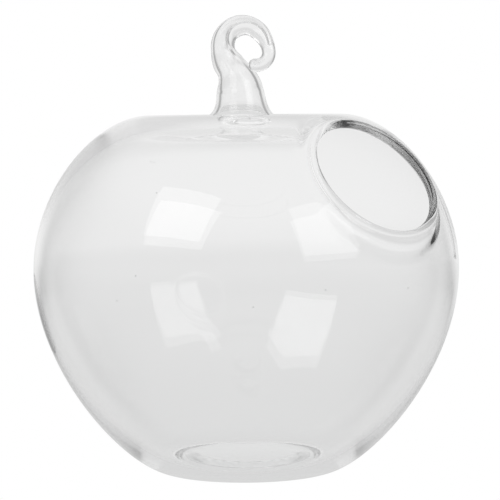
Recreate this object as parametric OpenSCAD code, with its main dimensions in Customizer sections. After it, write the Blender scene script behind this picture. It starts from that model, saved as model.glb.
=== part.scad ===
// Hanging glass planter: a hand-blown apple-shaped globe of clear glass.
// The neck is drawn up out of a shallow dimple and curled round into a hook.
// A round mouth with a melted lip opens the right shoulder toward the front.
// The base is pushed up in the middle so the globe also stands on a ring.
// Millimetres, +Z up, origin at the middle of the ring it stands on.
// The hook curls in the XZ plane, so a cord or bar passes along Y.

/* [Globe] */
// Outside width of the globe at the belly
body_diameter = 120; // [112:1:130]
// Height of the rounded crest of the globe above the foot
body_height = 100.6; // [96:0.2:106]
// Height of the widest level of the belly
belly_height = 57.2; // [52:0.2:62]
// Share of the low half that climbs upright below the belly
bowl_fullness = 0.51; // [0.4:0.01:0.6]
// Share of the underside that runs out level from the foot
heel_fullness = 0.28; // [0.2:0.01:0.4]
// Share of the shoulder that climbs upright above the belly
shoulder_fullness = 0.516; // [0.4:0.01:0.6]
// Share of the shoulder that runs level out from the crest
crest_fullness = 0.47; // [0.3:0.01:0.6]
// Width of the ring where the crest is highest
crest_diameter = 54; // [48:1:60]
// Width of the lowest ring of the dimple round the neck
dimple_diameter = 30; // [27:0.5:34]
// Depth of that ring below the crest
dimple_depth = 2.3; // [1.4:0.1:3.2]

/* [Foot] */
// Outside width of the ring the globe stands on
foot_diameter = 46; // [42:0.5:50]
// Width of the flat land of that ring
foot_land = 1; // [0.6:0.1:2]
// Height the underside is pushed up inside the ring
punt_rise = 2.6; // [1.6:0.1:4]
// Distance over which the push-up climbs from the ring
punt_slope = 6.5; // [4:0.1:9]

/* [Walls] */
// Glass thickness at the crest
crest_wall = 3.7; // [3:0.1:4.2]
// Glass thickness at the belly
belly_wall = 1.2; // [0.9:0.1:2]
// Height of the crease ring inside the base
foot_wall = 3.6; // [3:0.1:4.6]
// Glass thickness in the middle of the base
base_wall = 2.3; // [1.6:0.1:3.4]
// Width of the crease ring inside the base
inner_ring_diameter = 39.4; // [36:0.2:42]
// Distance over which the inside of the base climbs from that ring
mound_slope = 8; // [6:0.5:12]
// Upright share of the inner bowl below the belly
inner_bowl_fullness = 0.47; // [0.42:0.01:0.52]
// Share of the inner bowl that runs out level from the crease ring
inner_heel_fullness = 0.44; // [0.38:0.01:0.48]
// Upright share of the inner shoulder above the belly
inner_shoulder_fullness = 0.66; // [0.6:0.01:0.68]
// Share of the inner shoulder that runs level out from its crest
inner_crest_fullness = 0.46; // [0.38:0.01:0.5]
// Distance of the inner crest ring inside the outer one
inner_crest_inset = 7; // [5:0.5:9]

/* [Mouth] */
// Free width of the mouth inside the lip
mouth_diameter = 35.5; // [30:0.5:38]
// Height of the middle of the mouth above the foot
mouth_height = 83.4; // [80:0.2:86]
// Turn of the mouth from the right side toward the front
mouth_turn = 45; // [30:1:60]
// Extra turn of the mouth axis beyond its place on the shoulder
mouth_twist = 4.8; // [0:0.1:8]
// Upward tilt of the mouth axis
mouth_tilt = 39.5; // [36:0.5:43]
// Distance the middle of the mouth lies inside the shoulder curve
mouth_sink = 3.7; // [3:0.1:4.5]
// Thickness of the round melted lip
lip_bead = 2.5; // [2:0.1:3.2]
// Width of the wall drawn in round the lip
lip_reach = 4.2; // [3.4:0.1:5]

/* [Neck] */
// Sideways place of the neck on the crest
neck_shift = -1; // [-2:0.1:1]
// Lean of the neck where it leaves the dimple
neck_lean = 2.5; // [0:0.5:5]
// Width of the flare where the neck leaves the dimple
flare_diameter = 27; // [24:0.5:29]
// Height over which the flare dies away
flare_fade = 2.3; // [1.8:0.1:2.8]
// Length of the straight part of the neck
neck_length = 9; // [7:0.5:12]
// Width of the neck above the flare
neck_diameter = 13.2; // [12:0.1:14.5]
// Glass thickness of the neck
neck_wall = 1.45; // [1:0.05:1.9]

/* [Hook] */
// Turn of the neck, away from the eye
neck_turn = -9.3; // [-12:0.1:-6]
// Length of the first bend, away from the eye
bend_length = 7.9; // [7:0.1:9]
// Turn of the first bend
bend_turn = -29.7; // [-33:0.1:-26]
// Width at the end of the first bend
bend_diameter = 8.7; // [8:0.1:9.4]
// Length of the rise into the crown
rise_length = 5.3; // [4.5:0.1:6.5]
// Turn of the rise
rise_turn = 33.2; // [30:0.1:37]
// Width at the end of the rise
rise_diameter = 6.8; // [6.2:0.1:7.4]
// Length of the crown of the hook
crown_length = 13.4; // [13:0.1:14.4]
// Turn of the crown
crown_turn = 131.4; // [125:0.1:135]
// Width at the top of the crown
crown_diameter = 6; // [5.4:0.1:6.4]
// Length of the drop behind the crown
drop_length = 7.3; // [6.6:0.1:8]
// Turn of the drop
drop_turn = 46.4; // [42:0.1:50]
// Width at the start of the drop
drop_diameter = 5.2; // [4.8:0.1:5.6]
// Length of the curled tip
tip_length = 7.4; // [6.6:0.1:8]
// Turn of the curled tip
tip_turn = 121.2; // [115:0.1:126]
// Width of the tip
tip_diameter = 3.75; // [3.4:0.05:4]
// Clear gap between the tip and the neck it curls in front of
tip_clearance = 0.3; // [0.2:0.05:0.8]

/* [Bore] */
// Width of the bore at the end of the first bend
bore_bend = 6.2; // [5:0.1:6.6]
// Width of the bore at the end of the rise
bore_rise = 3.9; // [3:0.1:4.2]
// Width of the bore at the top of the crown
bore_crown = 1.6; // [1:0.1:1.8]
// Width of the bore from the drop to its end
bore_end = 1; // [0.6:0.1:1.2]
// Distance the bore runs outside the middle at the crown
bore_drift = 1.45; // [1:0.05:1.5]
// Share of the drop that the bore reaches into
bore_reach = 0.75; // [0.5:0.05:0.9]

/* [Hidden] */
$fn = 96;
curve_steps = 22;
ring_sides = 28;
bore_sides = 20;
lip_steps = 60;

body_radius = body_diameter / 2;
crest_radius = crest_diameter / 2;
dimple_radius = dimple_diameter / 2;
foot_radius = foot_diameter / 2;
dimple_height = body_height - dimple_depth;
lip_radius = (mouth_diameter + lip_bead) / 2;
anchor_radius = lip_radius + lip_reach;
cut_radius = lip_radius + lip_reach * 0.6;

// Curves

function smooth(u) = let (v = min(1, max(0, u))) v * v * (3 - 2 * v);
function blend(a, b, u) = a + (b - a) * u;

// A cubic curve from p to q with its two handle points
function cubic(p, a, b, q, u) =
  p * pow(1 - u, 3) + a * 3 * u * pow(1 - u, 2)
  + b * 3 * u * u * (1 - u) + q * u * u * u;
function cubic_points(c, first = 0) =
  [for (i = [first : curve_steps]) cubic(c[0], c[1], c[2], c[3], i / curve_steps)];

// Globe outline

belly_point = [body_radius, belly_height];
crest_point = [crest_radius, body_height];
heel_run = heel_fullness * (body_radius - foot_radius);
bowl_rise = bowl_fullness * belly_height;
shoulder_rise = shoulder_fullness * (body_height - belly_height);
crest_run = crest_fullness * (body_radius - crest_radius);
dimple_run = (crest_radius - dimple_radius) * 0.45;

outer_bowl = [[foot_radius, 0], [foot_radius + heel_run, 0],
  belly_point - [0, bowl_rise], belly_point];
outer_shoulder = [belly_point, belly_point + [0, shoulder_rise],
  crest_point + [crest_run, 0], crest_point];
outer_dimple = [crest_point, crest_point - [dimple_run, 0],
  [dimple_radius + dimple_run, dimple_height], [dimple_radius, dimple_height]];

// The push-up climbs inside the foot ring and levels out in the middle
punt_edge = foot_radius - foot_land;
function punt_points() =
  [for (i = [0 : curve_steps]) let (r = punt_edge * i / curve_steps)
    [r, punt_rise * (1 - smooth((r - punt_edge + punt_slope) / punt_slope))]];

outer_profile = concat(
  punt_points(),
  cubic_points(outer_bowl), cubic_points(outer_shoulder, 1),
  cubic_points(outer_dimple, 1), [[0, dimple_height]]);

// Inside outline, thin at the belly, thick at the crest and over the foot

inner_belly = belly_point - [belly_wall, 0];
inner_crest_radius = crest_radius - inner_crest_inset;
inner_crest = [inner_crest_radius, body_height - crest_wall];
inner_ring_radius = inner_ring_diameter / 2;
mound_rise = punt_rise + base_wall - foot_wall;
inner_dimple_radius = dimple_radius * 0.85;
inner_dimple_height = inner_crest[1] - dimple_depth * 0.35;
inner_run = (inner_crest_radius - inner_dimple_radius) * 0.45;

inner_bowl = [[inner_ring_radius, foot_wall],
  [blend(inner_ring_radius, inner_belly[0], inner_heel_fullness), foot_wall],
  inner_belly - [0, inner_bowl_fullness * (belly_height - foot_wall)], inner_belly];
inner_shoulder = [inner_belly,
  inner_belly + [0, inner_shoulder_fullness * (inner_crest[1] - belly_height)],
  inner_crest + [inner_crest_fullness * (inner_belly[0] - inner_crest_radius), 0],
  inner_crest];
inner_dimple = [inner_crest, inner_crest - [inner_run, 0],
  [inner_dimple_radius + inner_run, inner_dimple_height],
  [inner_dimple_radius, inner_dimple_height]];

// The inside climbs from a crease at its ring, so the ring shows as a fine line
function mound_points() =
  [for (i = [0 : curve_steps])
    let (r = inner_ring_radius * i / curve_steps,
      v = min(1, (inner_ring_radius - r) / mound_slope))
    [r, foot_wall + mound_rise * (1 - pow(1 - v, 2))]];

inner_profile = concat(
  mound_points(),
  cubic_points(inner_bowl, 1), cubic_points(inner_shoulder, 1),
  cubic_points(inner_dimple, 1), [[0, inner_dimple_height]]);

// Radius of a bowl and shoulder pair at a height, found by halving

function curve_at(c, z, low = 0, high = 1, n = 16) =
  let (mid = (low + high) / 2, p = cubic(c[0], c[1], c[2], c[3], mid))
  n == 0 ? p[0]
  : p[1] < z ? curve_at(c, z, mid, high, n - 1) : curve_at(c, z, low, mid, n - 1);
function wall_radius(bowl, shoulder, z) =
  z < belly_height ? curve_at(bowl, z) : curve_at(shoulder, z);
function inside(p, bowl, shoulder) =
  p[2] < shoulder[3][1] && norm([p[0], p[1]]) < wall_radius(bowl, shoulder, p[2]);

// Mouth place and axes

mouth_reach = wall_radius(outer_bowl, outer_shoulder, mouth_height) - mouth_sink;
mouth_centre = [mouth_reach * cos(mouth_turn), -mouth_reach * sin(mouth_turn),
  mouth_height];
axis_turn = -mouth_turn - mouth_twist;
mouth_axis = [cos(mouth_tilt) * cos(axis_turn), cos(mouth_tilt) * sin(axis_turn),
  sin(mouth_tilt)];
mouth_side = [-sin(axis_turn), cos(axis_turn), 0];
mouth_up = cross(mouth_axis, mouth_side);
function around_mouth(turn, reach, rise) = mouth_centre
  + mouth_side * reach * cos(turn) + mouth_up * reach * sin(turn) + mouth_axis * rise;

// Height of a wall surface over the lip plane, found by halving
function wall_rise(turn, bowl, shoulder, low = -12, high = 12, n = 14) =
  let (mid = (low + high) / 2)
  n == 0 ? mid
  : inside(around_mouth(turn, anchor_radius, mid), bowl, shoulder)
  ? wall_rise(turn, bowl, shoulder, mid, high, n - 1)
  : wall_rise(turn, bowl, shoulder, low, mid, n - 1);

// One slice of the lip: a round bead that thins into the wall
function lip_slice(turn) =
  let (over = wall_rise(turn, outer_bowl, outer_shoulder),
    under = wall_rise(turn, inner_bowl, inner_shoulder),
    rise = (over + under) / 2,
    tongue = (over - under) * 0.24,
    aim = atan2(rise, lip_reach))
  concat(
    [for (a = [90 : 18 : 270]) around_mouth(turn,
      lip_radius + lip_bead / 2 * cos(aim + a), lip_bead / 2 * sin(aim + a))],
    [for (a = [-90 : 30 : 90]) around_mouth(turn,
      anchor_radius + tongue * cos(aim + a), rise + tongue * sin(aim + a))]);

// Hook path: a chain of arcs in the XZ plane, each [length, turn, end radius]

half_crown = [crown_length / 2, crown_turn / 2];
arcs = [
  [neck_length, neck_turn, neck_diameter / 2],
  [bend_length, bend_turn, bend_diameter / 2],
  [rise_length, rise_turn, rise_diameter / 2],
  [half_crown[0], half_crown[1], crown_diameter / 2],
  [half_crown[0], half_crown[1], drop_diameter / 2],
  [drop_length, drop_turn, tip_diameter / 2 + 0.05],
  [tip_length, tip_turn, tip_diameter / 2]];

// Place and heading after a share of one arc, from [x, z, heading]
function along(start, arc, u) =
  let (bow = arc[0] / (arc[1] * PI / 180), a = start[2], b = a + arc[1] * u)
  [start[0] + bow * (cos(a) - cos(b)), start[1] + bow * (sin(b) - sin(a)), b];
function arc_start(i) =
  i == 0 ? [neck_shift, dimple_height, neck_lean] : along(arc_start(i - 1), arcs[i - 1], 1);
function length_to(i) = i == 0 ? 0 : length_to(i - 1) + arcs[i - 1][0];
starts = [for (i = [0 : len(arcs)]) arc_start(i)];
crown_from = length_to(3);
hook_length = length_to(len(arcs));

// Glass radius and the forward swing of the path
function glass_radius(i, u) =
  i == 0 ? arcs[0][2] + (flare_diameter / 2 - arcs[0][2]) * exp(-u * neck_length / flare_fade)
  : blend(arcs[i - 1][2], arcs[i][2], smooth(u));
tip_place = starts[len(arcs)];
tip_radius = tip_diameter / 2;
swings = [for (i = [0 : 2]) for (k = [0 : 8])
  let (p = along(starts[i], arcs[i], k / 8),
    reach = glass_radius(i, k / 8) + tip_radius + tip_clearance,
    gap = norm([p[0] - tip_place[0], p[1] - tip_place[1]]))
  gap < reach ? sqrt(reach * reach - gap * gap) : 0];
tip_swing = max(swings) * 1.03;
function swing(i, u) = -tip_swing * smooth(
  (length_to(i) + arcs[i][0] * u - crown_from) / (hook_length - crown_from - tip_radius));

// A ring of points round the path, pushed out by drift on the outer side
function ring(place, radius, drift, ahead, y, sides) =
  let (out = [-cos(place[2]), sin(place[2])], fore = [sin(place[2]), cos(place[2])])
  [for (k = [0 : sides - 1]) let (a = 360 * k / sides, w = drift + radius * cos(a))
    [place[0] + out[0] * w + fore[0] * ahead, y + radius * sin(a),
      place[1] + out[1] * w + fore[1] * ahead]];

ring_counts = [12, 6, 5, 7, 7, 7, 9];
last_arc = len(arcs) - 1;
foot_dip = 0.4;
foot_flare = glass_radius(0, -foot_dip / neck_length);
hook_rings = concat(
  [ring(along(starts[0], arcs[0], -foot_dip / neck_length), foot_flare, 0, 0, 0, ring_sides)],
  [for (i = [0 : last_arc]) for (k = [0 : ring_counts[i] - (i == last_arc ? 0 : 1)])
    let (u = k / ring_counts[i])
    ring(along(starts[i], arcs[i], u), glass_radius(i, u), 0, 0, swing(i, u), ring_sides)],
  [for (a = [20 : 20 : 80])
    ring(tip_place, tip_radius * cos(a), 0, tip_radius * sin(a), -tip_swing, ring_sides)]);

// Bore radius and drift at the joints between the arcs
bore_neck = neck_diameter / 2 - neck_wall;
bore_flare = 4.3;
bore_fade = 2.6;
bore_spread = 1.4;
bore_radii = [bore_neck, bore_neck, bore_bend / 2, bore_rise / 2, bore_crown / 2,
  bore_end / 2, bore_end / 2];
bore_drifts = [0, 0, 0.05, 0.35, bore_drift, bore_drift * 0.93, bore_drift * 0.3];
function bore_radius(i, u) =
  blend(bore_radii[i], bore_radii[i + 1], smooth(u))
  + (i == 0 ? bore_flare * exp(-max(u * neck_length, -bore_spread) / bore_fade) : 0);
function bore_ring(i, u) = ring(along(starts[i], arcs[i], u), bore_radius(i, u),
  blend(bore_drifts[i], bore_drifts[i + 1], smooth(u)), 0, swing(i, u), bore_sides);
bore_dip = 3.2;
bore_rings = concat(
  [for (d = [bore_dip, bore_spread, bore_spread / 2]) bore_ring(0, -d / neck_length)],
  [for (i = [0 : 5]) for (k = [0 : ring_counts[i] - 1])
    let (u = k / ring_counts[i] * (i == 5 ? bore_reach : 1)) bore_ring(i, u)],
  [for (a = [0 : 22.5 : 67.5]) ring(along(starts[5], arcs[5], bore_reach),
    bore_end / 2 * cos(a), bore_drifts[5] * 0.5, bore_end / 2 * sin(a),
    swing(5, bore_reach), bore_sides)]);

// Skin over a stack of rings, with a flat face at each end
module skin(rings) {
  sides = len(rings[0]);
  last = len(rings) - 1;
  polyhedron(
    points = [for (r = rings) for (p = r) p],
    faces = concat(
      [[for (k = [sides - 1 : -1 : 0]) k]],
      [for (i = [0 : last - 1]) for (k = [0 : sides - 1]) let (n = (k + 1) % sides)
        each [[i * sides + k, (i + 1) * sides + n, (i + 1) * sides + k],
          [i * sides + k, i * sides + n, (i + 1) * sides + n]]],
      [[for (k = [0 : sides - 1]) last * sides + k]]),
    convexity = 8);
}

// Skin over a closed loop of slices
module loop_skin(slices) {
  sides = len(slices[0]);
  count = len(slices);
  polyhedron(
    points = [for (s = slices) for (p = s) p],
    faces = [for (i = [0 : count - 1]) for (k = [0 : sides - 1])
      let (m = (i + 1) % count, n = (k + 1) % sides)
      each [[i * sides + k, m * sides + n, m * sides + k],
        [i * sides + k, i * sides + n, m * sides + n]]],
    convexity = 8);
}

// Sub-parts

module globe_outside() {
  rotate_extrude() polygon(outer_profile);
}

module globe_inside() {
  rotate_extrude() polygon(inner_profile);
}

module hook_glass() {
  skin(hook_rings);
}

module hook_bore() {
  skin(bore_rings);
}

module mouth_cut() {
  translate(mouth_centre)
    rotate([0, 90 - mouth_tilt, axis_turn])
      translate([0, 0, -9])
        cylinder(h = 20, r = cut_radius);
}

module mouth_lip() {
  loop_skin([for (i = [0 : lip_steps - 1]) lip_slice(360 * (i + 0.5) / lip_steps)]);
}

module glass_planter() {
  color([0.86, 0.9, 0.9, 0.5])
    union() {
      difference() {
        union() {
          globe_outside();
          hook_glass();
        }
        globe_inside();
        hook_bore();
        mouth_cut();
      }
      mouth_lip();
    }
}

glass_planter();
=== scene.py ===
# %% [markdown]
# # A hanging planter blown from one piece of clear glass
# The real piece is a globe of thin glass, shaped like an apple. Its neck is drawn up out of a
# shallow dimple while the glass is soft, and curled round into a hook that hangs on a cord. One
# round mouth is opened in the shoulder and its edge is melted back into a smooth lip. Everything
# is the same glass, so here too it is one closed mesh: an outside skin, an inside skin, and the
# lip that joins them. We start by loading the frame that the solids stand in, and keep only its
# meshes, where they stand.

# %% Open the frame
import math

import bpy
import numpy as np
from mathutils import Matrix, Vector


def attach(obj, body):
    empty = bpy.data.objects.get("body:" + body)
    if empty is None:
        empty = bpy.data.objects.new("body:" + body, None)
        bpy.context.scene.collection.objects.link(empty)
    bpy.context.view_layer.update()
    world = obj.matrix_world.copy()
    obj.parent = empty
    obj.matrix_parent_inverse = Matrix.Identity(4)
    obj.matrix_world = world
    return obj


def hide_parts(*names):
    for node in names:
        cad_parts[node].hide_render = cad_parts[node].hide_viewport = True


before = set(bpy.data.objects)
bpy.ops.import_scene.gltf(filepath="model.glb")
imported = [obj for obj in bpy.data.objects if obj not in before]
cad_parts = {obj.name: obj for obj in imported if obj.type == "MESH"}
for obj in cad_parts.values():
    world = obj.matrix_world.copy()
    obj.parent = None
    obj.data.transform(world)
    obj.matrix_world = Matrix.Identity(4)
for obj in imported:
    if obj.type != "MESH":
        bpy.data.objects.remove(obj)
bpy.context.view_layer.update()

MM = 0.001

# %% [markdown]
# ## The plan of the glass
# A blower turns the globe on a pipe, so every level of it is a ring. The hook is rings too, but
# strung along a bent path. So the whole piece follows one rule: a list of rings, each with a
# middle, a lean, a radius and a drift of its middle. We could model the globe with a lathe and
# the hook with a swept curve and weld the two, but the weld would show in the reflections.
# One list of rings from the middle of the base to the tip of the hook has no weld. The inside
# of the glass is a second list. Sizes are in millimetres and each one has a name.

# %% Sizes of the globe
BODY_R = 60.0
BODY_H = 100.6
BELLY_H = 57.2
CREST_R = 27.0
FOOT_R = 23.0
FOOT_LAND = 1.0  # width of the flat ring that the globe stands on
PUNT_RISE = 2.0  # how far the middle of the base is pushed up
PUNT_SLOPE = 3.4  # width of the slope round that push-up

CREST_WALL = 2.7
BELLY_WALL = 1.2
FOOT_WALL = 1.9
BASE_WALL = 1.4
INNER_RING_R = 19.7  # where the inside stops falling and turns up over the push-up
MOUND_SLOPE = 6.5
INNER_CREST_INSET = 2.0

# how far the handles of the curves reach, as shares of the curve's width or height
BOWL_FULL, HEEL_FULL, SHOULDER_FULL, CREST_FULL = 0.51, 0.28, 0.516, 0.47
INNER_BOWL_FULL, INNER_HEEL_FULL = 0.49, 0.34
INNER_SHOULDER_FULL, INNER_CREST_FULL = 0.49, 0.50
print("globe:", BODY_R * 2, "wide,", BODY_H, "high, walls", BELLY_WALL, "to", CREST_WALL)


# %% Curve helpers
def smooth(u):
    v = np.clip(u, 0, 1)
    return v * v * (3 - 2 * v)


def blend(a, b, u):
    return a + (b - a) * u


def cubic(p, a, b, q, count=400):
    u = np.linspace(0, 1, count)[:, None]
    p, a, b, q = (np.array(v, float) for v in (p, a, b, q))
    return p * (1 - u) ** 3 + 3 * a * u * (1 - u) ** 2 + 3 * b * u**2 * (1 - u) + q * u**3


def hermite(start, leave, end, arrive, u):
    # from start to end, with the slope leave at the start and the slope arrive at the end
    return (start * (2 * u**3 - 3 * u**2 + 1) + leave * (u**3 - 2 * u**2 + u)
            + end * (3 * u**2 - 2 * u**3) + arrive * (u**3 - u**2))


# %% [markdown]
# ## The globe's outline, outside and inside
# Each outline starts in the middle of the base. It comes down the pushed-up middle, runs round
# the ring the globe stands on, up the bowl to the belly, over the shoulder to the crest and down
# into the dimple, where the neck takes over. The pieces are cubic curves whose handles are
# level or upright at the joints, so no joint shows. The inside is not an offset copy: hand-blown
# glass is thin at the belly, and thicker at the crest and over the foot.


# %% Outline of the globe
BASE_POINTS = 300


def push_up():
    edge = FOOT_R - FOOT_LAND
    r = np.linspace(0, edge, BASE_POINTS)
    return np.stack([r, PUNT_RISE * (1 - smooth((r - edge + PUNT_SLOPE) / PUNT_SLOPE))], axis=1)


def mound():
    r = np.linspace(0, INNER_RING_R, BASE_POINTS)
    v = np.minimum(1, (INNER_RING_R - r) / MOUND_SLOPE)
    rise = PUNT_RISE + BASE_WALL - FOOT_WALL
    return np.stack([r, FOOT_WALL + rise * (1 - (1 - v) ** 2)], axis=1)


heel_run = HEEL_FULL * (BODY_R - FOOT_R)
bowl_rise = BOWL_FULL * BELLY_H
shoulder_rise = SHOULDER_FULL * (BODY_H - BELLY_H)
crest_run = CREST_FULL * (BODY_R - CREST_R)
outer_bowl = cubic((FOOT_R, 0), (FOOT_R + heel_run, 0), (BODY_R, BELLY_H - bowl_rise),
                   (BODY_R, BELLY_H))
outer_shoulder = cubic((BODY_R, BELLY_H), (BODY_R, BELLY_H + shoulder_rise),
                       (CREST_R + crest_run, BODY_H), (CREST_R, BODY_H))
outer_wall = np.vstack([outer_bowl, outer_shoulder[1:]])

inner_belly_r = BODY_R - BELLY_WALL
inner_crest = (CREST_R - INNER_CREST_INSET, BODY_H - CREST_WALL)
inner_bowl = cubic(
    (INNER_RING_R, FOOT_WALL),
    (blend(INNER_RING_R, inner_belly_r, INNER_HEEL_FULL), FOOT_WALL),
    (inner_belly_r, BELLY_H - INNER_BOWL_FULL * (BELLY_H - FOOT_WALL)),
    (inner_belly_r, BELLY_H))
inner_shoulder = cubic(
    (inner_belly_r, BELLY_H),
    (inner_belly_r, BELLY_H + INNER_SHOULDER_FULL * (inner_crest[1] - BELLY_H)),
    (inner_crest[0] + INNER_CREST_FULL * (inner_belly_r - inner_crest[0]), inner_crest[1]),
    inner_crest)
inner_wall = np.vstack([inner_bowl, inner_shoulder[1:]])
print("outline points:", len(outer_wall), "outside,", len(inner_wall), "inside")

# %% [markdown]
# ## The path of the neck and the hook
# The path is a chain of arcs in the plane of the hook. Each arc has a length, a turn and the
# radius that the glass has pulled down to at its end. A spline through hand-placed points would
# do as well, but arcs that touch keep the bend as even as a bend in soft glass. The bore shrinks
# faster than the glass and drifts to the outer side of the crown, as it does when a hollow neck
# is bent. The last arcs swing toward the front, so that the tip clears the neck.

# %% Path, glass and bore of the hook
NECK_SHIFT, NECK_LEAN, NECK_ROOT_H = -1.0, 2.5, 98.3
FLARE_R, FLARE_FADE = 13.5, 2.3
ARCS = [(9.0, -9.3, 6.6), (7.9, -29.7, 4.35), (5.3, 33.2, 3.4), (6.7, 65.7, 3.0),
        (6.7, 65.7, 2.6), (7.3, 46.4, 1.925), (6.3, 103.2, 1.875)]
BORE_R = [5.15, 5.15, 3.1, 2.05, 1.15, 0.65, 0.5]
BORE_DRIFT = [0, 0, 0.05, 0.25, 1.1, 1.2, 0.435]
BORE_FLARE, BORE_FADE = 4.3, 2.6
BORE_LAST, BORE_REACH = 5, 0.75  # the arc that the bore ends in, and how far along it
NECK_ARCS = 3  # the arcs that rise as the neck, before the ones that curl
TIP_CLEARANCE, SWING_SPARE = 0.3, 1.03


def along(start, arc, u):
    bow = arc[0] / math.radians(arc[1])
    a, b = math.radians(start[2]), math.radians(start[2] + arc[1] * u)
    return (start[0] + bow * (math.cos(a) - math.cos(b)),
            start[1] + bow * (math.sin(b) - math.sin(a)), math.degrees(b))


starts = [(NECK_SHIFT, NECK_ROOT_H, NECK_LEAN)]
for arc in ARCS:
    starts.append(along(starts[-1], arc, 1))
reach_to = np.concatenate([[0], np.cumsum([arc[0] for arc in ARCS])])
tip_place, tip_r = starts[-1], ARCS[-1][2]


def glass_radius(i, u):
    if i == 0:
        return ARCS[0][2] + (FLARE_R - ARCS[0][2]) * math.exp(-u * ARCS[0][0] / FLARE_FADE)
    return float(blend(ARCS[i - 1][2], ARCS[i][2], smooth(u)))


def along_bore(values, i, u):
    before, start = values[max(i - 1, 0)], values[i]
    end, after = values[i + 1], values[min(i + 2, len(values) - 1)]
    return float(hermite(start, (end - before) / 2, end, (after - start) / 2, u))


def bore_radius(i, u):
    flare = BORE_FLARE * math.exp(-u * ARCS[0][0] / BORE_FADE) if i == 0 else 0
    return along_bore(BORE_R, i, u) + flare


def bore_drift(i, u):
    return along_bore(BORE_DRIFT, i, u)


def needed_swing(tries=8):
    most = 0
    for i in range(NECK_ARCS):
        for k in range(tries + 1):
            x, z, _ = along(starts[i], ARCS[i], k / tries)
            clear = glass_radius(i, k / tries) + tip_r + TIP_CLEARANCE
            gap = math.hypot(x - tip_place[0], z - tip_place[1])
            most = max(most, math.sqrt(max(clear**2 - gap**2, 0)))
    return most * SWING_SPARE


tip_swing = needed_swing()


def swing(i, u):
    run = reach_to[i] + ARCS[i][0] * u - reach_to[NECK_ARCS]
    return -tip_swing * float(smooth(run / (reach_to[-1] - reach_to[NECK_ARCS] - tip_r)))


print("hook: path", round(reach_to[-1], 1), "mm, tip swung forward", round(tip_swing, 2))

# %% [markdown]
# ## From outlines to rings
# A ring is six numbers: the middle (x and z), the lean, the radius, the drift and the forward
# swing. Between the dimple and the neck, the middle and the lean fade from the globe's axis to
# the neck's, inside one cubic that rounds the corner where the neck was drawn up.

# %% Rings of both skins
NECK_START = 1.5  # how far up its path the neck takes over from the dimple
NECK_FADE_R = 20.0  # rings wider than this stay on the globe's axis
# handles of the cubics that lead from the crest down into the dimple and up the neck
DIMPLE_HANDLES = (19.5, BODY_H), (14.8, 96.8)
INNER_DIMPLE_HANDLES = (18.0, inner_crest[1]), (10.2, 95.9)
PATH_STEP = 0.05


def globe_rings(points):
    r, z = points[:, 0], points[:, 1]
    none = np.zeros(len(r))
    return np.stack([none, z, none, r, none, none], axis=1)


def flare_rings(points, join):
    share = smooth((NECK_FADE_R - points[:, 0]) / (NECK_FADE_R - points[-1, 0]))
    rings = globe_rings(points)
    rings[:, 0] = share * join[0]
    rings[:, 2] = share * math.radians(join[2])
    return rings


def hook_rings(first, last, radius, drift):
    rings = []
    for i in range(len(ARCS)):
        lo, hi = max(first, reach_to[i]), min(last, reach_to[i + 1])
        if hi <= lo:
            continue
        for s in np.arange(lo, hi, PATH_STEP):
            u = (s - reach_to[i]) / ARCS[i][0]
            x, z, lean = along(starts[i], ARCS[i], u)
            rings.append((x, z, math.radians(lean), radius(i, u), drift(i, u), swing(i, u)))
    return np.array(rings)


def round_end(ring, count=40):
    a = np.linspace(0, math.pi / 2, count)[1:]
    r = ring[3]
    ahead = r * np.sin(a)
    rings = np.repeat(ring[None], len(a), axis=0)
    rings[:, 0] += np.sin(ring[2]) * ahead
    rings[:, 1] += np.cos(ring[2]) * ahead
    rings[:, 3] = r * np.cos(a)
    return rings


join_share = NECK_START / ARCS[0][0]
neck_join = along(starts[0], ARCS[0], join_share)
outer_join = (glass_radius(0, join_share), neck_join[1])
inner_join = (bore_radius(0, join_share), neck_join[1])
outer_flare = cubic((CREST_R, BODY_H), *DIMPLE_HANDLES, outer_join)
inner_flare = cubic(inner_crest, *INNER_DIMPLE_HANDLES, inner_join)

bore_end = reach_to[BORE_LAST] + ARCS[BORE_LAST][0] * BORE_REACH
outer_hook = hook_rings(NECK_START, reach_to[-1], glass_radius, lambda i, u: 0)
inner_hook = hook_rings(NECK_START, bore_end, bore_radius, bore_drift)
outer_rings = np.vstack([
    globe_rings(push_up()), globe_rings(outer_wall),
    flare_rings(outer_flare[1:], neck_join), outer_hook[1:], round_end(outer_hook[-1])])
inner_rings = np.vstack([
    globe_rings(mound()), globe_rings(inner_wall[1:]),
    flare_rings(inner_flare[1:], neck_join), inner_hook[1:], round_end(inner_hook[-1])])
print("rings before spacing:", len(outer_rings), "and", len(inner_rings))

# %% [markdown]
# ## Even spacing
# Reflections show every uneven step, so the rings are spaced again along the outline: coarse on
# the globe, finer in the dimple and finest round the hook, with a smooth change between. For
# each row of the mesh the table keeps twelve rings, because the points near the mouth lie
# between rows.

# %% Space the rings
COLUMNS = 176
RINGS_PER_ROW = 12
GLOBE_STEP, NECK_STEP, TIP_STEP, POLE_FINER = 1.45, 0.75, 0.45, 0.7
# inside these radii the steps get finer, and the change to them is spread over these widths
NECK_R, NECK_WIDTH, NECK_FROM_H = 30, 16, 90
TIP_R, TIP_WIDTH = 5, 3
POLE_R, POLE_WIDTH, POLE_TO_H = 6, 6, 20
SAME_PLACE = 1e-6


def spacing(rings):
    z, r = rings[:, 1], rings[:, 3]
    near_neck = np.where(z > NECK_FROM_H, smooth((NECK_R - r) / NECK_WIDTH), 0)
    near_tip = smooth((TIP_R - r) / TIP_WIDTH) * near_neck
    near_pole = np.where(z < POLE_TO_H, smooth((POLE_R - r) / POLE_WIDTH), 0)
    step = GLOBE_STEP + (NECK_STEP - GLOBE_STEP) * near_neck + (TIP_STEP - NECK_STEP) * near_tip
    return step - POLE_FINER * near_pole


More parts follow.
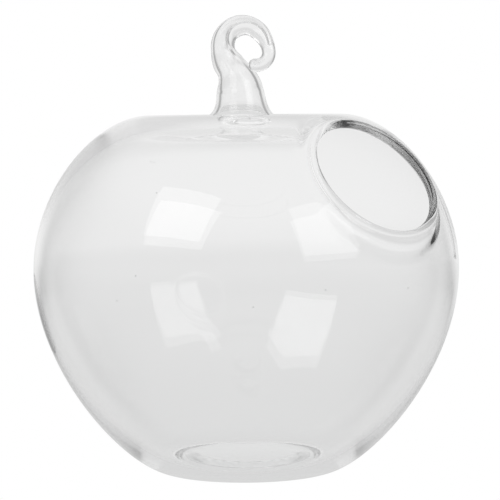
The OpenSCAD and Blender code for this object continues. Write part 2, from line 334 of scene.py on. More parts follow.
def space_rings(rings):
    step = np.diff(rings[:, [0, 1, 3]], axis=0)
    length = np.hypot(np.hypot(step[:, 0], step[:, 1]), step[:, 2])
    rings = rings[np.concatenate([[True], length > SAME_PLACE])]
    length = length[length > SAME_PLACE]
    gap = spacing(rings)
    row = np.concatenate([[0], np.cumsum(length / ((gap[1:] + gap[:-1]) / 2))])
    rows = int(round(row[-1]))
    row *= rows / row[-1]
    fine = np.arange(rows * RINGS_PER_ROW + 1) / RINGS_PER_ROW
    return np.stack([np.interp(fine, row, column) for column in rings.T], axis=1), rows


outer_table, outer_rows = space_rings(outer_rings)
inner_table, inner_rows = space_rings(inner_rings)
print("rows:", outer_rows, "outside,", inner_rows, "inside")

# %% [markdown]
# ## The mouth
# The mouth is opened in the soft shoulder, and its rim lies in one plane that tilts up and to
# the front. A boolean would cut it in a moment, but leaves a sharp edge and a ragged row of
# faces. Here a block of the net is left out instead and a patch of loops runs from the edge of
# the block to the lip, over the lip and back to the inner skin. First we need the plane, and
# where a line along the mouth's axis meets each skin.

# %% Mouth plane
MOUTH_R = 17.75
LIP_BEAD = 2.5  # how thick the melted bead is
LIP_REACH = 5.2  # how far from the middle of the bead the wall begins to draw in
MOUTH_H = 83.4
MOUTH_SINK = 3.7  # how far inside the globe's outline the middle of the mouth lies
MOUTH_TURN, MOUTH_TWIST, MOUTH_TILT = 45.0, 4.8, 39.5  # in degrees, and the twist adds to the turn
SEARCH_FROM, SEARCH_TO, HALVINGS = -16.0, 12.0, 40  # where a skin is looked for, along the axis
lip_r = MOUTH_R + LIP_BEAD / 2
anchor_r = lip_r + LIP_REACH
mouth_reach = np.interp(MOUTH_H, outer_wall[:, 1], outer_wall[:, 0]) - MOUTH_SINK
turn_to = math.radians(-MOUTH_TURN)
mouth_middle = np.array([mouth_reach * math.cos(turn_to), mouth_reach * math.sin(turn_to), MOUTH_H])
axis_turn, tilt = math.radians(-MOUTH_TURN - MOUTH_TWIST), math.radians(MOUTH_TILT)
mouth_axis = np.array([math.cos(tilt) * math.cos(axis_turn),
                       math.cos(tilt) * math.sin(axis_turn), math.sin(tilt)])
mouth_side = np.array([-math.sin(axis_turn), math.cos(axis_turn), 0])
mouth_up = np.cross(mouth_axis, mouth_side)


def on_mouth(turn, reach, rise):
    turn, reach, rise = (np.asarray(v, float)[..., None] for v in (turn, reach, rise))
    return (mouth_middle + mouth_side * reach * np.cos(turn) + mouth_up * reach * np.sin(turn)
            + mouth_axis * rise)


def wall_rise(turn, reach, wall):
    low, high = np.full(np.shape(turn), SEARCH_FROM), np.full(np.shape(turn), SEARCH_TO)
    for _ in range(HALVINGS):
        middle = (low + high) / 2
        p = on_mouth(turn, reach, middle)
        radius = np.interp(p[..., 2], wall[:, 1], wall[:, 0])
        inside = (p[..., 2] < wall[-1, 1]) & (np.hypot(p[..., 0], p[..., 1]) < radius)
        low, high = np.where(inside, middle, low), np.where(inside, high, middle)
    return (low + high) / 2


print("mouth middle:", np.round(mouth_middle, 1), "lip radius", lip_r)

# %% [markdown]
# ## The net
# The net holds only how points are joined and where each point belongs: its turn round the
# ring, its place along the list of rings, and a pull for the points of the lip. It has no shape
# yet. Both skins leave out a block of equal size round the mouth, so their edges have equally
# many points and the patch between them is a plain grid.

# %% Net of the two skins
BLOCK_COLUMNS, BLOCK_ROWS = 32, 38
BLOCK_TURN = math.radians(-46.5)
BLOCK_GAP = 3.4  # how much nearer to the globe's axis the block ends than the patch
SHOULDER_FROM = 70.0  # only rows above this height can be the upper end of the block
COLUMN_TURN = 2 * math.pi / COLUMNS
# rings narrower than EVEN_R and the lip stay even, and the unevenness fades in over these widths
EVEN_R, EVEN_R_FADE, EVEN_LIP_FADE = 14, 16, 12
MOUTH_DEPTH = -15  # points deeper than this along the mouth's axis are away from the mouth
INNER_OFFSET = len(outer_table)
turns, places, pulls, frees, faces = [], [], [], [], []


def add_point(turn, place, pull=(0, 0, 0), free=1.0):
    turns.append(float(turn))
    places.append(float(place))
    pulls.append(tuple(float(c) for c in pull))
    frees.append(float(free))
    return len(turns) - 1


def first_block_row(table, wall):
    top = on_mouth(np.array([math.pi / 2]), anchor_r, wall_rise([math.pi / 2], anchor_r, wall))
    reach = np.hypot(top[0, 0], top[0, 1])
    r, z = table[::RINGS_PER_ROW, 3], table[::RINGS_PER_ROW, 1]
    top_row = int(np.flatnonzero((z > SHOULDER_FROM) & (r > reach - BLOCK_GAP))[-1])
    return top_row - BLOCK_ROWS


def column_turn(j):
    return BLOCK_TURN + (j - BLOCK_COLUMNS / 2) * COLUMN_TURN


def freedom(turn, place, table):
    ring = table[int(min(place, len(table) - 1))]
    p = np.array([ring[3] * math.cos(turn), ring[3] * math.sin(turn), ring[1]]) - mouth_middle
    far = np.hypot(p @ mouth_side, p @ mouth_up) if p @ mouth_axis > MOUTH_DEPTH else math.inf
    return float(smooth((ring[3] - EVEN_R) / EVEN_R_FADE) * smooth((far - anchor_r) / EVEN_LIP_FADE))


def skin_net(table, rows, wall, offset, outward):
    low = first_block_row(table, wall)
    high = low + BLOCK_ROWS
    ids = np.full((rows + 1, COLUMNS), -1)
    for i in range(1, rows):
        for j in range(COLUMNS):
            if low < i < high and 0 < j < BLOCK_COLUMNS:
                continue
            place = i * RINGS_PER_ROW
            turn = column_turn(j)
            ids[i, j] = add_point(turn, place + offset, free=freedom(turn, place, table))
    poles = [add_point(0, offset, free=0), add_point(0, rows * RINGS_PER_ROW + offset, free=0)]
    for i in range(1, rows - 1):
        for j in range(COLUMNS):
            n = (j + 1) % COLUMNS
            if low <= i < high and j < BLOCK_COLUMNS:
                continue
            quad = (ids[i, j], ids[i, n], ids[i + 1, n], ids[i + 1, j])
            faces.append(quad if outward else quad[::-1])
    for j in range(COLUMNS):
        n = (j + 1) % COLUMNS
        ends = [(poles[0], ids[1, n], ids[1, j]), (poles[1], ids[rows - 1, j], ids[rows - 1, n])]
        faces.extend(end if outward else end[::-1] for end in ends)
    edge = [(low, j) for j in range(BLOCK_COLUMNS)]
    edge += [(i, BLOCK_COLUMNS) for i in range(low, high)]
    edge += [(high, j) for j in range(BLOCK_COLUMNS, 0, -1)]
    edge += [(i, 0) for i in range(high, low, -1)]
    points = []
    for i, j in edge:
        ring = table[i * RINGS_PER_ROW]
        turn = column_turn(j)
        points.append((ring[3] * math.cos(turn), ring[3] * math.sin(turn), ring[1]))
    return [int(ids[i, j]) for i, j in edge], np.array(points), (low, high)


outer_edge, outer_points, outer_block = skin_net(outer_table, outer_rows, outer_wall, 0, True)
inner_edge, inner_points, inner_block = skin_net(
    inner_table, inner_rows, inner_wall, INNER_OFFSET, False)
print("block rows:", outer_block, inner_block, "edge points:", len(outer_edge))

# %% [markdown]
# ## The lip
# A melted edge draws itself into a round bead, a little thicker than the wall behind it. Seen in
# section, the patch comes in over the wall, meets the bead at a tangent, goes round it and leaves
# along the inner wall. The rim is flat, but the shoulder is not: the lip stands proud of it on
# the low right side and is sunk into it on the high left side.

# %% Patch and lip
PATCH_STEPS, FILLET_STEPS, BEAD_STEPS = 7, 7, 16
BEAD_OPENING = math.radians(66.5)  # half the angle over which the bead is open to the wall
EVEN_SHARE = 0.7  # how much the lip's points keep an even spacing, against following the block
CREST_SHARE = 0.98  # rings wider than this share of the crest's radius belong to the wall
SLOPE_STEP = 0.05  # the slope of a skin is taken over this length


def edge_in_mouth(points):
    local = points - mouth_middle
    across, up = local @ mouth_side, local @ mouth_up
    return np.unwrap(np.arctan2(up, across)), np.hypot(across, up)


outer_turn, outer_reach = edge_in_mouth(outer_points)
inner_turn, inner_reach = edge_in_mouth(inner_points)
count = len(outer_edge)
even = np.arange(count) * 2 * math.pi / count
even += np.mean((outer_turn + inner_turn) / 2 - even)
lip_turn = blend((outer_turn + inner_turn) / 2, even, EVEN_SHARE)

outer_rise = wall_rise(lip_turn, np.full(count, anchor_r), outer_wall)
inner_rise = wall_rise(lip_turn, np.full(count, anchor_r), inner_wall)
aim = np.arctan2((outer_rise + inner_rise) / 2, LIP_REACH)


def wall_place(turn, reach, table, wall, offset):
    p = on_mouth(turn, reach, wall_rise(turn, reach, wall))
    crest = int(np.argmax(table[:, 1] * (table[:, 3] > wall[-1, 0] * CREST_SHARE)))
    foot = int(np.argmax(table[:, 3] > wall[0, 0]))
    heights = table[foot:crest, 1]
    place = foot + np.interp(p[:, 2], heights, np.arange(len(heights)))
    return p, np.arctan2(p[:, 1], p[:, 0]), place + offset


def lay_row(turn, reach, rise, table, wall, offset):
    base, ring_turn, place = wall_place(turn, reach, table, wall, offset)
    target = base if rise is None else on_mouth(turn, reach, rise)
    pull = (target - base) * MM
    return [add_point(ring_turn[k], place[k], pull[k], 0.0) for k in range(count)]


def patch_rows(edge_turn, edge_reach, start_side, table, wall, offset):
    rows = []
    for m in range(1, PATCH_STEPS + 1):
        q = m / PATCH_STEPS
        turn = blend(edge_turn, lip_turn, smooth(q))
        rows.append(lay_row(turn, blend(edge_reach, anchor_r, q), None, table, wall, offset))
    near = np.full(count, anchor_r)
    end_rise = wall_rise(lip_turn, near, wall)
    slope = (wall_rise(lip_turn, near + SLOPE_STEP, wall) - end_rise) / SLOPE_STEP
    begin = aim + start_side * BEAD_OPENING
    on_bead = np.stack([lip_r + LIP_BEAD / 2 * np.cos(begin), LIP_BEAD / 2 * np.sin(begin)])
    off_bead = np.stack([np.sin(begin), -np.cos(begin)]) * start_side
    on_wall = np.stack([near, end_rise])
    along_wall = np.stack([np.ones(count), slope]) / np.hypot(1, slope)
    run = np.hypot(*(on_wall - on_bead))
    for m in range(1, FILLET_STEPS + 1):
        u = 1 - m / (FILLET_STEPS + 1)
        reach, rise = hermite(on_bead, off_bead * run, on_wall, along_wall * run, u)
        rows.append(lay_row(lip_turn, reach, rise, table, wall, offset))
    return rows


def bead_rows():
    rows = []
    for m in range(BEAD_STEPS + 1):
        a = aim + BEAD_OPENING + (2 * math.pi - 2 * BEAD_OPENING) * m / BEAD_STEPS
        reach = lip_r + LIP_BEAD / 2 * np.cos(a)
        outside = m <= BEAD_STEPS / 2
        rows.append(lay_row(lip_turn, reach, LIP_BEAD / 2 * np.sin(a),
                            outer_table if outside else inner_table,
                            outer_wall if outside else inner_wall,
                            0 if outside else INNER_OFFSET))
    return rows


loops = [outer_edge]
loops += patch_rows(outer_turn, outer_reach, 1, outer_table, outer_wall, 0)
loops += bead_rows()
loops += patch_rows(inner_turn, inner_reach, -1, inner_table, inner_wall, INNER_OFFSET)[::-1]
loops.append(inner_edge)
for a, b in zip(loops, loops[1:]):
    for k in range(count):
        n = (k + 1) % count
        faces.append((a[k], a[n], b[n], b[k]))
print("lip rows:", len(loops), "points:", len(turns), "faces:", len(faces))


# %% Store the net and the ring table
def mesh_object(name, points, quads=(), numbers=None, vectors=None):
    mesh = bpy.data.meshes.new(name)
    mesh.from_pydata([tuple(p) for p in points], [], [tuple(int(v) for v in q) for q in quads])
    for label, values in (numbers or {}).items():
        layer = mesh.attributes.new(label, "FLOAT", "POINT")
        layer.data.foreach_set("value", np.asarray(values, np.float32))
    for label, values in (vectors or {}).items():
        layer = mesh.attributes.new(label, "FLOAT_VECTOR", "POINT")
        layer.data.foreach_set("vector", np.asarray(values, np.float32).ravel())
    mesh.update()
    made = bpy.data.objects.new(name, mesh)
    bpy.context.scene.collection.objects.link(made)
    return made


table = np.vstack([outer_table, inner_table])
ring_points = np.stack([table[:, 0], table[:, 5], table[:, 1]], axis=1) * MM
ring_sizes = np.stack([table[:, 3] * MM, table[:, 2], table[:, 4] * MM], axis=1)
rings = mesh_object("ring_table", ring_points, vectors={"ring": ring_sizes})
net = mesh_object("glass_net", np.zeros((len(turns), 3)), faces,
                  {"turn": turns, "place": places, "free": frees}, {"pull": pulls})
print("ring table:", len(table), "rings")

# %% [markdown]
# ## Seeds
# Glass melted by hand keeps a few gas bubbles, which glassmakers call seeds. On this piece ten
# lie in the front wall of the globe, and two small swarms were trapped in the tip of the hook
# when its hot end was pinched off. A dark bump in the material would do from far away, but a
# real bubble is hollow: a tiny closed skin inside the glass that faces inwards. Here we only
# place them. The tree sets one small ball on each point.

# %% Places of the seeds
# seeds in the wall: the turn round the globe in degrees, and the height
WALL_SEEDS = [(-121.9, 88.3), (-120.3, 88.1), (-116.0, 80.5), (-118.8, 59.4), (-124.7, 52.7),
              (-37.6, 64.1), (-44.3, 54.7), (-42.2, 36.2), (-70.0, 55.6), (-88.4, 51.7)]
SEED_R, SEED_FLAT = 0.19, 0.7
# swarms: the place along the path, half the length, the number, and the shift to the outside
SWARMS = [(45.4, 0.9, 9, 0.50), (48.7, 0.9, 9, 0.05)]
SWARM_SEED_R, SWARM_DEPTH, SWARM_SPREAD = (0.07, 0.16), 0.25, 0.55
# long seeds: the place along the path, the shift to the outside, and the three radii
LONG_SEEDS = [(46.3, 0.76, (0.34, 0.42, 0.16)), (48.3, 0.76, (0.34, 0.42, 0.16))]


def on_hook(run, out, aside):
    i = min(int(np.searchsorted(reach_to, run)) - 1, len(ARCS) - 1)
    u = (run - reach_to[i]) / ARCS[i][0]
    x, z, lean = along(starts[i], ARCS[i], u)
    r, a = glass_radius(i, min(u, 1)), math.radians(lean)
    return (x - out * r * math.cos(a), swing(i, u) + aside * r, z + out * r * math.sin(a))


chance = np.random.default_rng(11)
seed_spots, seed_sizes = [], []
for azimuth, rise in WALL_SEEDS:
    r = (np.interp(rise, outer_wall[:, 1], outer_wall[:, 0])
         + np.interp(rise, inner_wall[:, 1], inner_wall[:, 0])) / 2
    a = math.radians(azimuth)
    seed_spots.append((r * math.cos(a), r * math.sin(a), rise))
    seed_sizes.append((SEED_R, SEED_R * SEED_FLAT, SEED_R * SEED_FLAT))
for run, length, number, out in SWARMS:
    for _ in range(number):
        shift = chance.uniform(-1, 1, 3)
        grain = chance.uniform(*SWARM_SEED_R)
        seed_spots.append(on_hook(run + shift[0] * length, out + shift[1] * SWARM_DEPTH,
                                  shift[2] * SWARM_SPREAD))
        seed_sizes.append((grain, grain, grain))
for run, out, grain in LONG_SEEDS:
    seed_spots.append(on_hook(run, out, 0.0))
    seed_sizes.append(grain)
seeds = mesh_object("seed_places", np.array(seed_spots) * MM,
                    vectors={"grain": np.array(seed_sizes) * MM})
print("seeds:", len(seed_spots), "smallest", round(float(np.min(seed_sizes)), 2), "mm")

# %% [markdown]
# ## Blowing the glass with Geometry Nodes
# Now the rule itself, as a node tree. For each point of the net it reads the two rings on either
# side of its place and mixes them, goes out from the ring's middle by the radius at the point's
# turn, and adds the pull of the lip. Then a slow noise moves the skins by a tenth of a
# millimetre, each in its own way: blown glass is never even, and it is this that breaks up the
# edges of the reflections. The size of that unevenness is an input of the tree, and so are its
# width, the strength of the lip's pull and the material.


# %% Tree helpers
def new_tree(name, inputs):
    tree = bpy.data.node_groups.new(name, "GeometryNodeTree")
    tree.interface.new_socket("Geometry", in_out="INPUT", socket_type="NodeSocketGeometry")
    for label, kind, value in inputs:
        socket = tree.interface.new_socket(label, in_out="INPUT", socket_type=kind)
        if value is not None:
            socket.default_value = value
    tree.interface.new_socket("Geometry", in_out="OUTPUT", socket_type="NodeSocketGeometry")
    return tree


def feed(tree, socket, value):
    if isinstance(value, bpy.types.NodeSocket):
        tree.links.new(value, socket)
    else:
        socket.default_value = value


def node(tree, kind, inputs=None, **settings):
    made = tree.nodes.new(kind)
    for label, value in settings.items():
        setattr(made, label, value)
    for key, value in (inputs or {}).items():
        if value is not None:
            feed(tree, made.inputs[key], value)
    return made


def math_node(tree, operation, a, b=None):
    return node(tree, "ShaderNodeMath", {0: a, 1: b}, operation=operation).outputs[0]


def vector_node(tree, operation, a, b=None, scale=None):
    made = node(tree, "ShaderNodeVectorMath", {0: a, 1: b, "Scale": scale}, operation=operation)
    return made.outputs["Vector"]


def named(tree, label, kind="FLOAT"):
    made = node(tree, "GeometryNodeInputNamedAttribute", {"Name": label}, data_type=kind)
    return made.outputs["Attribute"]


# %% The tree that blows the net
UNEVENNESS, UNEVEN_WIDTH, NOISE_SEED = 0.12 * MM, 30 * MM, 3.0
INNER_NOISE_STEP = 7.0  # how far off the inside skin's noise lies from the outside's
NOISE_TOP = 0.9  # the noise is taken from here down, so the skins hardly ever move outward
blow = new_tree("blow_glass", [
    ("Rings", "NodeSocketObject", None),
    ("Seeds", "NodeSocketObject", None),
    ("Lip Pull", "NodeSocketFloat", 1.0),
    ("Unevenness", "NodeSocketFloat", UNEVENNESS),
    ("Uneven Width", "NodeSocketFloat", UNEVEN_WIDTH),
    ("Seed", "NodeSocketFloat", NOISE_SEED),
    ("Glass", "NodeSocketMaterial", None)])
given = blow.nodes.new("NodeGroupInput").outputs
ring_source = node(blow, "GeometryNodeObjectInfo", {"Object": given["Rings"]}).outputs["Geometry"]
place, turn = named(blow, "place"), named(blow, "turn")
below = math_node(blow, "FLOOR", place)
share = math_node(blow, "SUBTRACT", place, below)


def sampled(value, index):
    made = node(blow, "GeometryNodeSampleIndex",
                {"Geometry": ring_source, "Value": value, "Index": index},
                data_type="FLOAT_VECTOR", domain="POINT", clamp=True)
    return made.outputs["Value"]


def ring_value(value):
    low = sampled(value, below)
    high = sampled(value, math_node(blow, "ADD", below, 1.0))
    gap = vector_node(blow, "SUBTRACT", high, low)
    return vector_node(blow, "ADD", low, vector_node(blow, "SCALE", gap, scale=share))


middle = ring_value(node(blow, "GeometryNodeInputPosition").outputs["Position"])
size = ring_value(named(blow, "ring", "FLOAT_VECTOR"))
radius, lean, drift = node(blow, "ShaderNodeSeparateXYZ", {"Vector": size}).outputs
out_way = node(blow, "ShaderNodeCombineXYZ", {
    "X": math_node(blow, "COSINE", lean),
    "Z": math_node(blow, "MULTIPLY", math_node(blow, "SINE", lean), -1.0)}).outputs["Vector"]
side_way = (0.0, 1.0, 0.0)
across = math_node(blow, "MULTIPLY", radius, math_node(blow, "COSINE", turn))
across = math_node(blow, "SUBTRACT", across, drift)
aside = math_node(blow, "MULTIPLY", radius, math_node(blow, "SINE", turn))
ring_spot = vector_node(blow, "ADD", vector_node(blow, "SCALE", out_way, scale=across),
                        vector_node(blow, "SCALE", side_way, scale=aside))
spot = vector_node(blow, "ADD", middle, ring_spot)
pulled = vector_node(blow, "SCALE", named(blow, "pull", "FLOAT_VECTOR"), scale=given["Lip Pull"])
spot = vector_node(blow, "ADD", spot, pulled)

# the unevenness of both skins
inner_side = math_node(blow, "GREATER_THAN", place, INNER_OFFSET - 0.5)
noise_scale = math_node(blow, "DIVIDE", 1.0, given["Uneven Width"])
noise_seed = math_node(blow, "ADD", given["Seed"],
                       math_node(blow, "MULTIPLY", inner_side, INNER_NOISE_STEP))
noise = node(blow, "ShaderNodeTexNoise",
             {"Vector": vector_node(blow, "SCALE", spot, scale=noise_scale), "W": noise_seed,
              "Scale": 1.0, "Detail": 1.0, "Roughness": 0.4}, noise_dimensions="4D")
depth = math_node(blow, "SUBTRACT", noise.outputs["Fac"], NOISE_TOP)
depth = math_node(blow, "MULTIPLY", depth, given["Unevenness"])
depth = math_node(blow, "MULTIPLY", depth, named(blow, "free"))
outward = vector_node(blow, "NORMALIZE", ring_spot)
spot = vector_node(blow, "ADD", spot, vector_node(blow, "SCALE", outward, scale=depth))
moved = node(blow, "GeometryNodeSetPosition", {"Geometry": given["Geometry"], "Position": spot})

# a hollow ball on each seed's place, turned inside out because it holds gas
seed_source = node(blow, "GeometryNodeObjectInfo", {"Object": given["Seeds"]}).outputs["Geometry"]
ball = node(blow, "GeometryNodeMeshIcoSphere", {"Radius": 1.0, "Subdivisions": 3})
hollow = node(blow, "GeometryNodeFlipFaces", {"Mesh": ball.outputs["Mesh"]})
set_seeds = node(blow, "GeometryNodeInstanceOnPoints",
                 {"Points": seed_source, "Instance": hollow.outputs["Mesh"],
                  "Scale": named(blow, "grain", "FLOAT_VECTOR")})
both = node(blow, "GeometryNodeJoinGeometry", {"Geometry": moved.outputs["Geometry"]})
feed(blow, both.inputs["Geometry"], set_seeds.outputs["Instances"])
real = node(blow, "GeometryNodeRealizeInstances", {"Geometry": both.outputs["Geometry"]})
soft = node(blow, "GeometryNodeSetShadeSmooth", {"Geometry": real.outputs["Geometry"]})
glassy = node(blow, "GeometryNodeSetMaterial",
              {"Geometry": soft.outputs["Geometry"], "Material": given["Glass"]})
node(blow, "NodeGroupOutput", {"Geometry": glassy.outputs["Geometry"]})
print("tree nodes:", len(blow.nodes))

# %% [markdown]
# ## The glass itself
# Clear soda glass is not quite colourless. Light loses a little on its way through it, so the
# glass looks grey where the way is long: at the shoulder, low on the sides and in the lip. A
# Volume Absorption does just that by the length of the way. The surface is a glass shader with
# the refraction of soda glass, and a faint painted shade in its colour that deepens toward the base.

# %% Glass material
WHITE = (1.0, 1.0, 1.0, 1.0)
# painted shade: the glass's colour at the base, and the height at which it has faded to white
BASE_PAINTED_SHADE, PAINTED_SHADE_TOP = (0.992, 0.994, 0.9935, 1.0), 100 * MM
SODA_GLASS_IOR = 1.5
ABSORPTION = 1.5  # per metre: a way of d metres leaves exp(-ABSORPTION * d) of the light
glass = bpy.data.materials.new("clear_glass")
glass.use_nodes = True
shade = glass.node_tree
shade.nodes.clear()


def share_between(tree, value, low, high):
    made = node(tree, "ShaderNodeMapRange", {"Value": value, "From Min": low, "From Max": high})
    return made.outputs["Result"]


def ramp(tree, source, stops):
    made = node(tree, "ShaderNodeValToRGB", {"Fac": source})
    marks = made.color_ramp.elements
    for k, (spot_at, value) in enumerate(stops):
        mark = marks[k] if k < 2 else marks.new(spot_at)
        mark.position = spot_at
        mark.color = value if isinstance(value, tuple) else (value, value, value, 1)
    return made.outputs["Color"]


where = node(shade, "ShaderNodeTexCoord").outputs["Object"]
height = node(shade, "ShaderNodeSeparateXYZ", {"Vector": where}).outputs["Z"]
# painted shade in the glass's colour: a little darker toward the base, white at the top
painted_shade = ramp(shade, share_between(shade, height, 0.0, PAINTED_SHADE_TOP), ((0.0, BASE_PAINTED_SHADE), (1.0, WHITE)))
skin = node(shade, "ShaderNodeBsdfPrincipled", {
    "Base Color": painted_shade, "Roughness": 0.0, "IOR": SODA_GLASS_IOR, "Transmission Weight": 1.0})
fade = node(shade, "ShaderNodeVolumeAbsorption",
            {"Color": (0.0, 0.0, 0.0, 1.0), "Density": ABSORPTION})
node(shade, "ShaderNodeOutputMaterial",
     {"Surface": skin.outputs["BSDF"], "Volume": fade.outputs["Volume"]})
print("glass material:", len(shade.nodes), "nodes")

# %% [markdown]
# ## The finished mesh
# The tree is set up once and its result is kept as a plain mesh, so that nothing has to be
# worked out again when the piece is used. The helper objects go, and so do the values that only
# the tree reads. The volume of the glass is a good test: a skin that faces the wrong way, or a
# hole in it, would show there at once.

# %% Run the tree and keep the result as a mesh
modifier = net.modifiers.new("blow", "NODES")
modifier.node_group = blow
sockets = {s.name: s.identifier for s in blow.interface.items_tree if s.in_out == "INPUT"}
for label, value in {"Rings": rings, "Seeds": seeds, "Lip Pull": 1.0, "Unevenness": UNEVENNESS,
                     "Uneven Width": UNEVEN_WIDTH, "Seed": NOISE_SEED, "Glass": glass}.items():
    modifier[sockets[label]] = value
bpy.context.view_layer.update()
graph = bpy.context.evaluated_depsgraph_get()
blown = bpy.data.meshes.new_from_object(net.evaluated_get(graph))
for label in ("turn", "place", "free", "pull", "grain"):
    if label in blown.attributes:
        blown.attributes.remove(blown.attributes[label])
blown.materials.clear()
blown.materials.append(glass)
blown.polygons.foreach_set("material_index", np.zeros(len(blown.polygons), np.int32))
for helper in (net, rings, seeds):
    bpy.data.objects.remove(helper)
planter = bpy.data.objects.new("blown_planter", blown)
bpy.context.scene.collection.objects.link(planter)
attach(planter, "root")
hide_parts("glass_planter")


def glass_volume(mesh):
    co = np.empty(len(mesh.vertices) * 3)
    mesh.vertices.foreach_get("co", co)
    co = co.reshape(-1, 3)
    mesh.calc_loop_triangles()
    tri = np.empty(len(mesh.loop_triangles) * 3, int)
    mesh.loop_triangles.foreach_get("vertices", tri)
    a, b, c = (co[tri.reshape(-1, 3)[:, k]] for k in range(3))
    return float(np.einsum("ij,ij->i", a, np.cross(b, c)).sum() / 6), len(a)


volume, triangles = glass_volume(blown)
print("glass:", round(volume * 1e9), "mm3 in", triangles, "triangles")

# %% [markdown]
# ## Floor, light and camera
# Clear glass shows only what is around it. The real piece stood in a bright tent: white paper
# under and behind it, a darker strip on each side, greyer side walls, and
# two soft boxes in front, to the left and to the right. They give the two pale windows on the
# shoulder, and the two that hang upside down on the back wall. The paper of the photograph is
# bleached to pure white where the camera sees it directly, but through the glass it is light
# grey, and greyer near the foot. A plain lit floor can't be both, so the floor glows: it shows the
# camera white, and everything else the grey, a painted shade that is greyer near the foot and in the
# strip on each side. The price is that it shows no shadow, as in the photograph.

# %% Floor
FLOOR_R = 4.0
# painted shade: grey by the distance from the foot, as a share of the floor's radius
PAINTED_FLOOR_SHADE_STOPS = ((0.0055, 0.68), (0.012, 0.714), (0.034, 0.725), (0.072, 0.765), (0.125, 0.80),
              (0.6, 0.875))
# brightness by the direction on the plan: 0 is sideways or forward, 1 is straight to the back; on
# the floor this is painted shade, in the tent it is the light itself
SIDE_STOPS = ((0.0, 0.72), (0.17, 0.70), (0.47, 0.60), (0.64, 0.48), (0.766, 0.48),
              (0.839, 0.85), (0.914, 1.0))
SIDES_FROM, SIDES_TO = 0.12, 0.4  # the distances over which the sides darken the floor
bpy.ops.mesh.primitive_circle_add(vertices=128, radius=FLOOR_R, fill_type="NGON")
floor = bpy.context.object
floor.name = "floor"
paper = bpy.data.materials.new("pale_paper")
paper.use_nodes = True
sheet = paper.node_tree
sheet.nodes.clear()


def mixed(tree, share, a, b, blend_type="MIX"):
    made = node(tree, "ShaderNodeMix", {"Factor": share, "A": a, "B": b}, data_type="RGBA",
                blend_type=blend_type)
    return made.outputs["Result"]


at = node(sheet, "ShaderNodeTexCoord").outputs["Object"]
from_middle = node(sheet, "ShaderNodeVectorMath", {0: at}, operation="LENGTH").outputs["Value"]
level_at = vector_node(sheet, "NORMALIZE", at)
back_way = node(sheet, "ShaderNodeSeparateXYZ", {"Vector": level_at}).outputs["Y"]
# painted shade on the floor: a darker strip to each side away from the middle, and greyer near the
# foot; the camera still sees it white
painted_side_shade = mixed(sheet, share_between(sheet, from_middle, SIDES_FROM, SIDES_TO), WHITE,
                 ramp(sheet, back_way, SIDE_STOPS))
grey = ramp(sheet, math_node(sheet, "DIVIDE", from_middle, FLOOR_R), PAINTED_FLOOR_SHADE_STOPS)
grey = mixed(sheet, 1.0, grey, painted_side_shade, "MULTIPLY")
direct = node(sheet, "ShaderNodeLightPath").outputs["Is Camera Ray"]
shown = mixed(sheet, direct, grey, WHITE)
lit = node(sheet, "ShaderNodeEmission", {"Color": shown, "Strength": 1.0})
node(sheet, "ShaderNodeOutputMaterial", {"Surface": lit.outputs["Emission"]})
floor.data.materials.append(paper)
print("floor:", FLOOR_R, "m, greys", PAINTED_FLOOR_SHADE_STOPS[0][1], "to", PAINTED_FLOOR_SHADE_STOPS[-1][1])

# %% Light of the tent
# brightness by the height of the way that a ray takes: 0 is level, 1 straight up
HEIGHT_STOPS = ((0.0, 0.88), (0.14, 0.87), (0.26, 0.74), (0.5, 0.72), (0.77, 0.9), (0.98, 1.0))
ROOF_FROM, ROOF_TO = 0.42, 0.7  # between these heights the walls' darkening fades out
world = bpy.data.worlds.new("studio")
bpy.context.scene.world = world
world.use_nodes = True
room = world.node_tree
room.nodes.clear()
way = node(room, "ShaderNodeTexCoord").outputs["Generated"]
way_x, way_y, way_z = node(room, "ShaderNodeSeparateXYZ", {"Vector": way}).outputs
level_way = node(room, "ShaderNodeCombineXYZ", {"X": way_x, "Y": way_y}).outputs["Vector"]
level_way = vector_node(room, "NORMALIZE", level_way)
back_share = node(room, "ShaderNodeSeparateXYZ", {"Vector": level_way}).outputs["Y"]
walls = mixed(room, share_between(room, way_z, ROOF_FROM, ROOF_TO),
              ramp(room, back_share, SIDE_STOPS), WHITE)
tent = mixed(room, 1.0, ramp(room, way_z, HEIGHT_STOPS), walls, "MULTIPLY")
seen = node(room, "ShaderNodeLightPath").outputs["Is Camera Ray"]
room_colour = mixed(room, seen, tent, WHITE)
glow = node(room, "ShaderNodeBackground", {"Color": room_colour, "Strength": 1.0})
node(room, "ShaderNodeOutputWorld", {"Surface": glow.outputs["Background"]})
print("tent:", len(room.nodes), "nodes")

# %% Soft boxes
BOX_DISTANCE, BOX_AIM_H = 1.4, 0.06


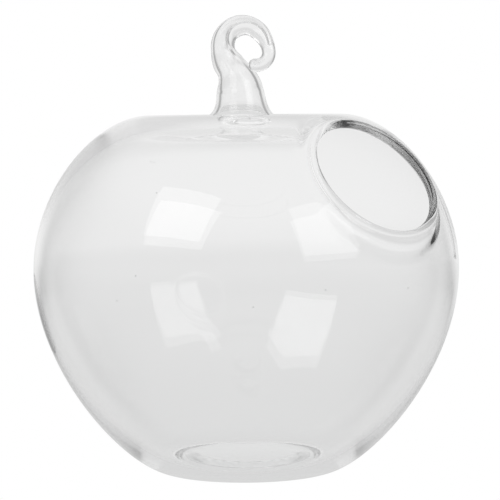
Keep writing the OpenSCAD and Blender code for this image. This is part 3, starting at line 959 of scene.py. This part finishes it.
def soft_box(name, azimuth, elevation, width, tall, glow):
    light = bpy.data.lights.new(name, "AREA")
    light.shape = "RECTANGLE"
    light.size, light.size_y = width, tall
    # this power gives the face of the light the brightness glow
    light.energy = glow * math.pi * width * tall
    made = bpy.data.objects.new(name, light)
    bpy.context.scene.collection.objects.link(made)
    a, e = math.radians(azimuth), math.radians(elevation)
    way = Vector((math.cos(a) * math.cos(e), math.sin(a) * math.cos(e), math.sin(e)))
    made.location = way * BOX_DISTANCE + Vector((0, 0, BOX_AIM_H))
    made.rotation_euler = way.to_track_quat("Z", "Y").to_euler()
    made.visible_camera = False
    return made


left_box = soft_box("left_soft_box", azimuth=-132, elevation=38.8, width=0.80, tall=0.72, glow=1.4)
right_box = soft_box("right_soft_box", azimuth=-44.5, elevation=29, width=0.76, tall=0.76, glow=1.15)
for box in (left_box, right_box):
    print(box.name, "at", [round(c, 2) for c in box.location])

# %% Camera
EYE = (0.0, -0.620, 0.104)
LOOK_DOWN, ROLL = math.radians(3.841), math.radians(0.54)
FOCAL_PIXELS, SIDE_PIXELS, SHIFT_PIXELS = 2196.6, 500, 3.9
SENSOR = 36
forward = Vector((0, math.cos(LOOK_DOWN), -math.sin(LOOK_DOWN)))
level = Vector((1, 0, 0))
upright = Vector((0, math.sin(LOOK_DOWN), math.cos(LOOK_DOWN)))
right = level * math.cos(ROLL) - upright * math.sin(ROLL)
top = upright * math.cos(ROLL) + level * math.sin(ROLL)
camera = bpy.data.objects.new("camera", bpy.data.cameras.new("camera"))
bpy.context.scene.collection.objects.link(camera)
camera.data.sensor_width = SENSOR
camera.data.lens = SENSOR * FOCAL_PIXELS / SIDE_PIXELS
camera.data.shift_x = SHIFT_PIXELS / SIDE_PIXELS
camera.data.clip_start = 0.01
camera.matrix_world = Matrix.Translation(EYE) @ Matrix(
    [[right[k], top[k], -forward[k]] for k in range(3)]).to_4x4()
bpy.context.scene.camera = camera
print("camera lens:", round(camera.data.lens, 1), "mm")

# %% [markdown]
# ## Long ways of light
# Inside a glass wall, light is thrown to and fro between the skins and may come out far from
# where it went in. A ray that is cut off on the way leaves a black band at the shoulder and in
# the lip, so a ray may bounce very often here. The colours are shown as they are, with no film
# look on top.

# %% Picture settings
BOUNCES = 128
view = bpy.context.scene.view_settings
view.view_transform = "Standard"
view.look = "None"
paths = bpy.context.scene.cycles
paths.max_bounces = BOUNCES
paths.transmission_bounces = BOUNCES
paths.glossy_bounces = BOUNCES
paths.use_denoising = True
print("bounces:", BOUNCES)
